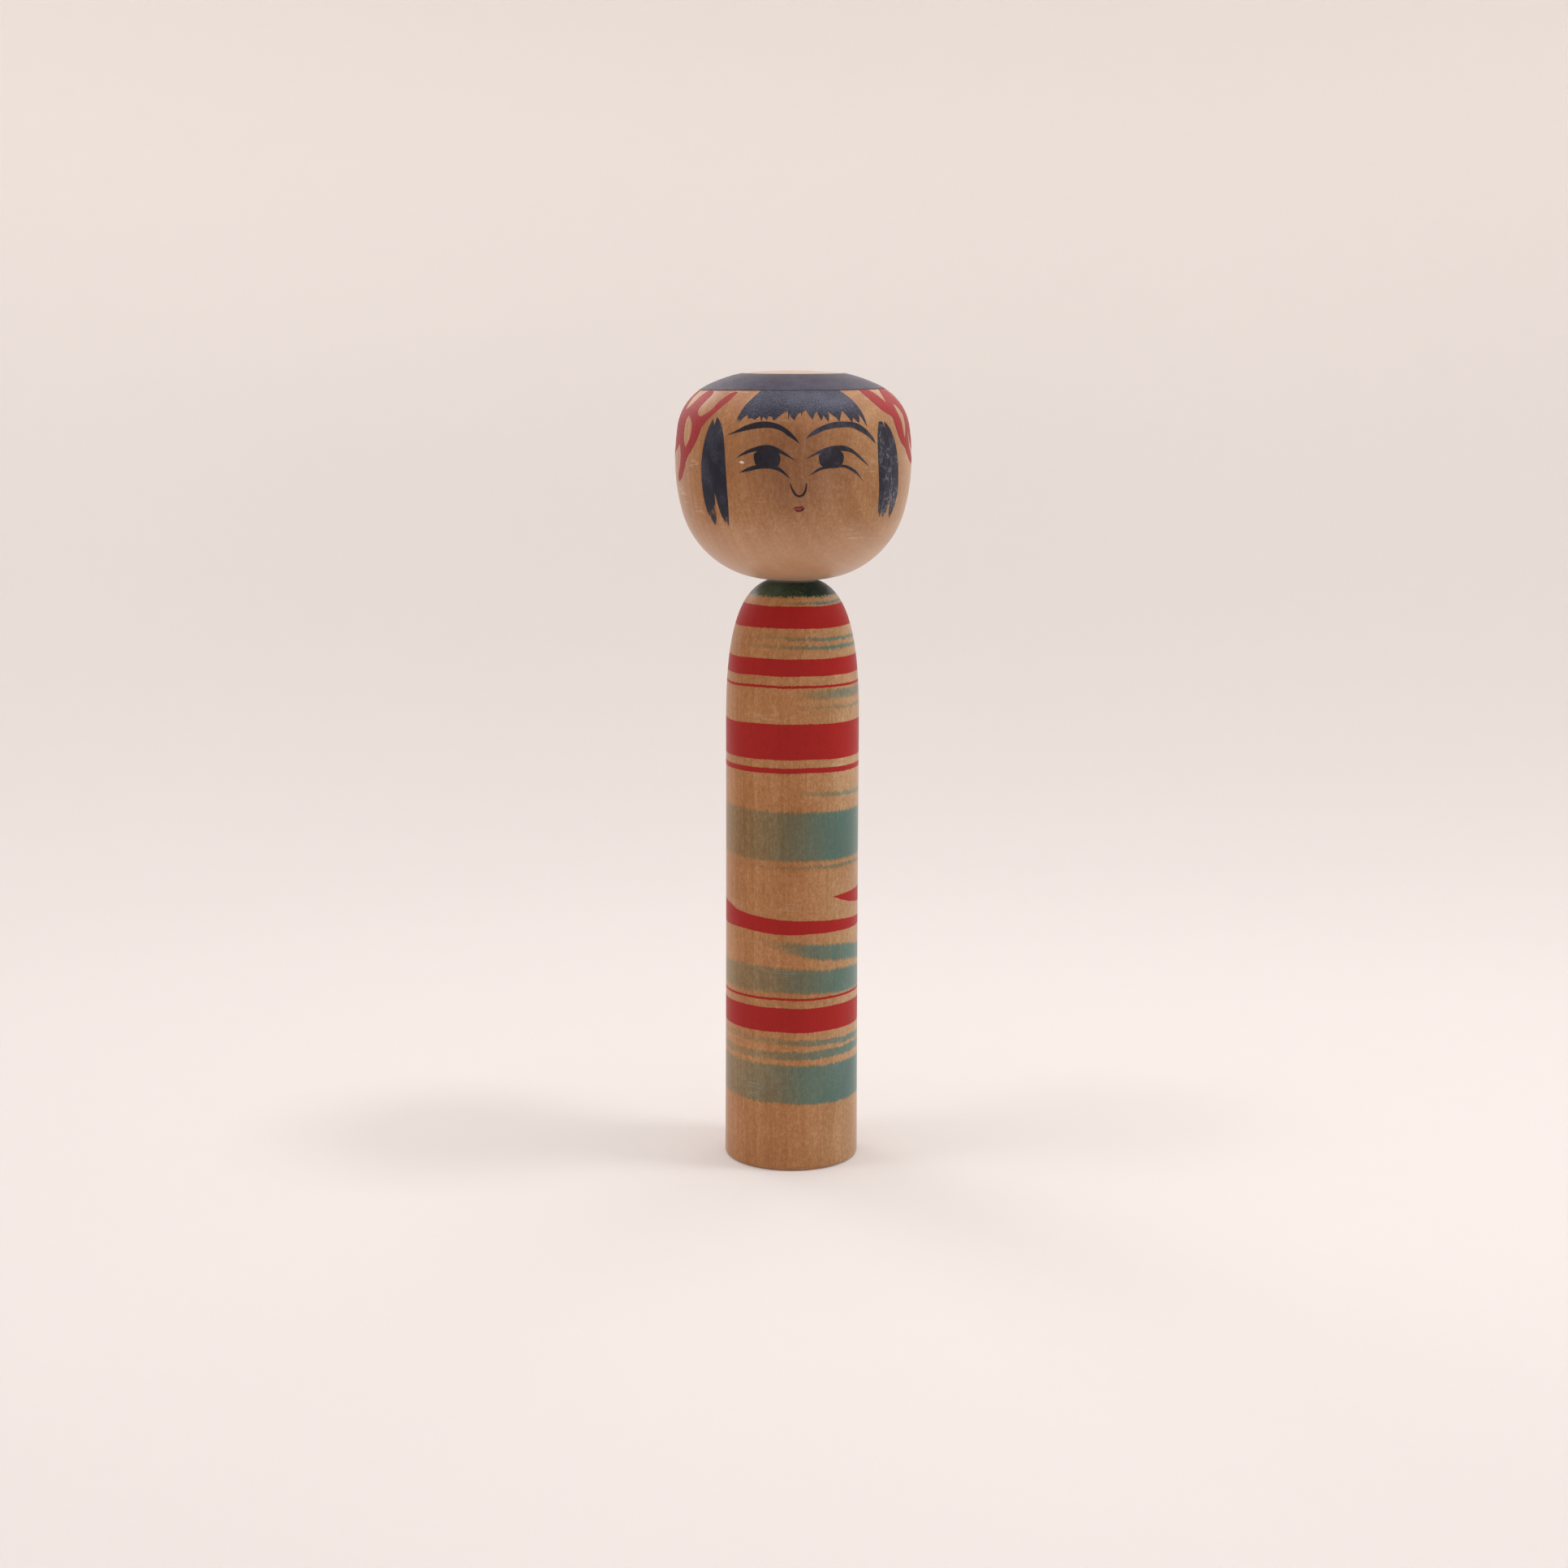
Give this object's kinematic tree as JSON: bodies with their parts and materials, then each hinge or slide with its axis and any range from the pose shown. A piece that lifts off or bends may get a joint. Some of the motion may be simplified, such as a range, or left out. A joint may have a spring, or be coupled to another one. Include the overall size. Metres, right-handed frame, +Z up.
{
  "type": "kokeshi doll",
  "caption": "Slim turned-wood doll: a pillar body with a rounded shoulder and a large round head that turns on a snap-in neck plug; it stands on its flat base.",
  "frame": {"origin": "middle of the flat base, on the turning axis", "axes": "+Z up along the turning axis; the face looks along -Y; +X is to the right of a viewer who faces the doll"},
  "size_m": [0.0702, 0.0702, 0.24],
  "materials": {
    "body_wood": "waxed, with painted lathe bands",
    "head_wood": "waxed, with brush-painted face and hair"
  },
  "bodies": {
    "body": {"body": "body_wood"},
    "head": {"head": "head_wood"}
  },
  "joints": [
    {"name": "head_turn", "type": "hinge", "parent": "body", "child": "head", "pos_m": [0, 0, 0.178], "axis": [0, 0, 1], "continuous": true}
  ]
}
